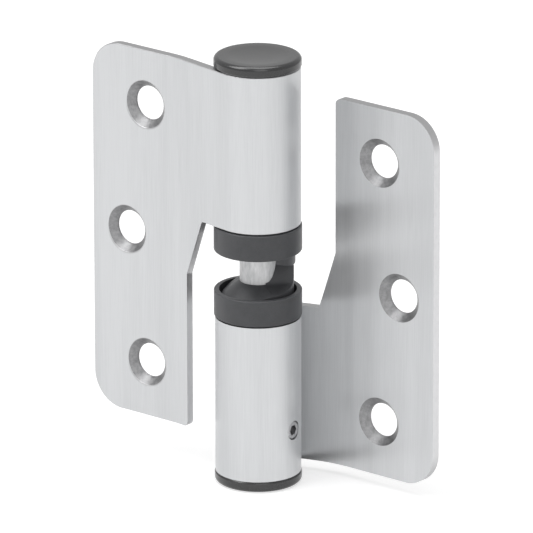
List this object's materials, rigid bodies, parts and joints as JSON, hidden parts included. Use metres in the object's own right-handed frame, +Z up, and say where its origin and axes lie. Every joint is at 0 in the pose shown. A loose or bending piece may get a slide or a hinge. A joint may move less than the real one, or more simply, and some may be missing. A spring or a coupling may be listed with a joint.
{
  "type": "rising butt hinge",
  "caption": "Stainless steel rising butt hinge: two countersunk leaves with rolled knuckles, turning on a pin over plastic helical cams that lift the door as it opens.",
  "frame": {"origin": "on the pin's axis, level with the frame leaf's bottom edge", "axes": "+Z up the pin, +X along the frame leaf, -Y the side that shows the countersinks"},
  "size_m": [0.0947, 0.0291, 0.1156],
  "materials": {
    "brushed_steel": "vertically brushed stainless sheet",
    "cap_plastic": "semi-gloss dark grey moulding",
    "dark_plastic": "fine-grained dark grey moulding",
    "pin_steel": "ground steel",
    "screw_steel": "turned steel",
    "socket_steel": "plain machined steel",
    "bearing_bronze": "plain sintered bearing metal",
    "insert_plastic": "plain moulding"
  },
  "bodies": {
    "frame": {"frame_leaf": "brushed_steel", "lower_cam": "dark_plastic", "bottom_cap": "cap_plastic", "hinge_pin": "pin_steel", "pin_socket": "socket_steel", "grub_screw": "screw_steel"},
    "sleeve": {"pin_sleeve": "bearing_bronze"},
    "door": {"door_leaf": "brushed_steel", "upper_cam": "dark_plastic", "top_cap": "cap_plastic", "top_bush": "insert_plastic"}
  },
  "joints": [
    {"name": "rise", "type": "slide", "parent": "frame", "child": "sleeve", "axis": [0, 0, 1], "range_m": [-0.0085, 0]},
    {"name": "turn", "type": "hinge", "parent": "sleeve", "child": "door", "pos_m": [0, 0, 0.08], "axis": [0, 0, 1], "range_deg": [0, 180]}
  ],
  "couplings": [
    {"joint": "rise", "follows": "turn", "m_per_rad": -0.0027056}
  ]
}
